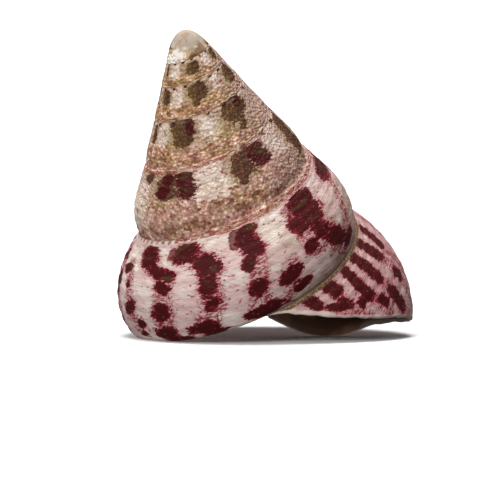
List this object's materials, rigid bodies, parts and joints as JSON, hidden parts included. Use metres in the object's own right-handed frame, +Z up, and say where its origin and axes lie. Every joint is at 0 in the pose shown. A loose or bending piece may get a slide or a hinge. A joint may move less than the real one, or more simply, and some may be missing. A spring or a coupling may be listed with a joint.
{
  "type": "top shell",
  "caption": "Conical spiral sea shell with rounded whorls, a worn tip and an open, hollow mouth, lying tilted on its mouth and body whorl",
  "frame": {"origin": "centre of the bounding box in plan, at the level of the surface the shell rests on", "axes": "+Z up from the resting surface; the picture looks along +Y, with the lip and the mouth to +X and the body whorl's swelling to -X"},
  "size_m": [0.0588, 0.0562, 0.0598],
  "materials": {
    "shell": "satin, slightly glossy, with pinkish-white ground, maroon flames and olive-tan worn spire"
  },
  "bodies": {
    "root": {"shell": "shell"}
  },
  "joints": []
}
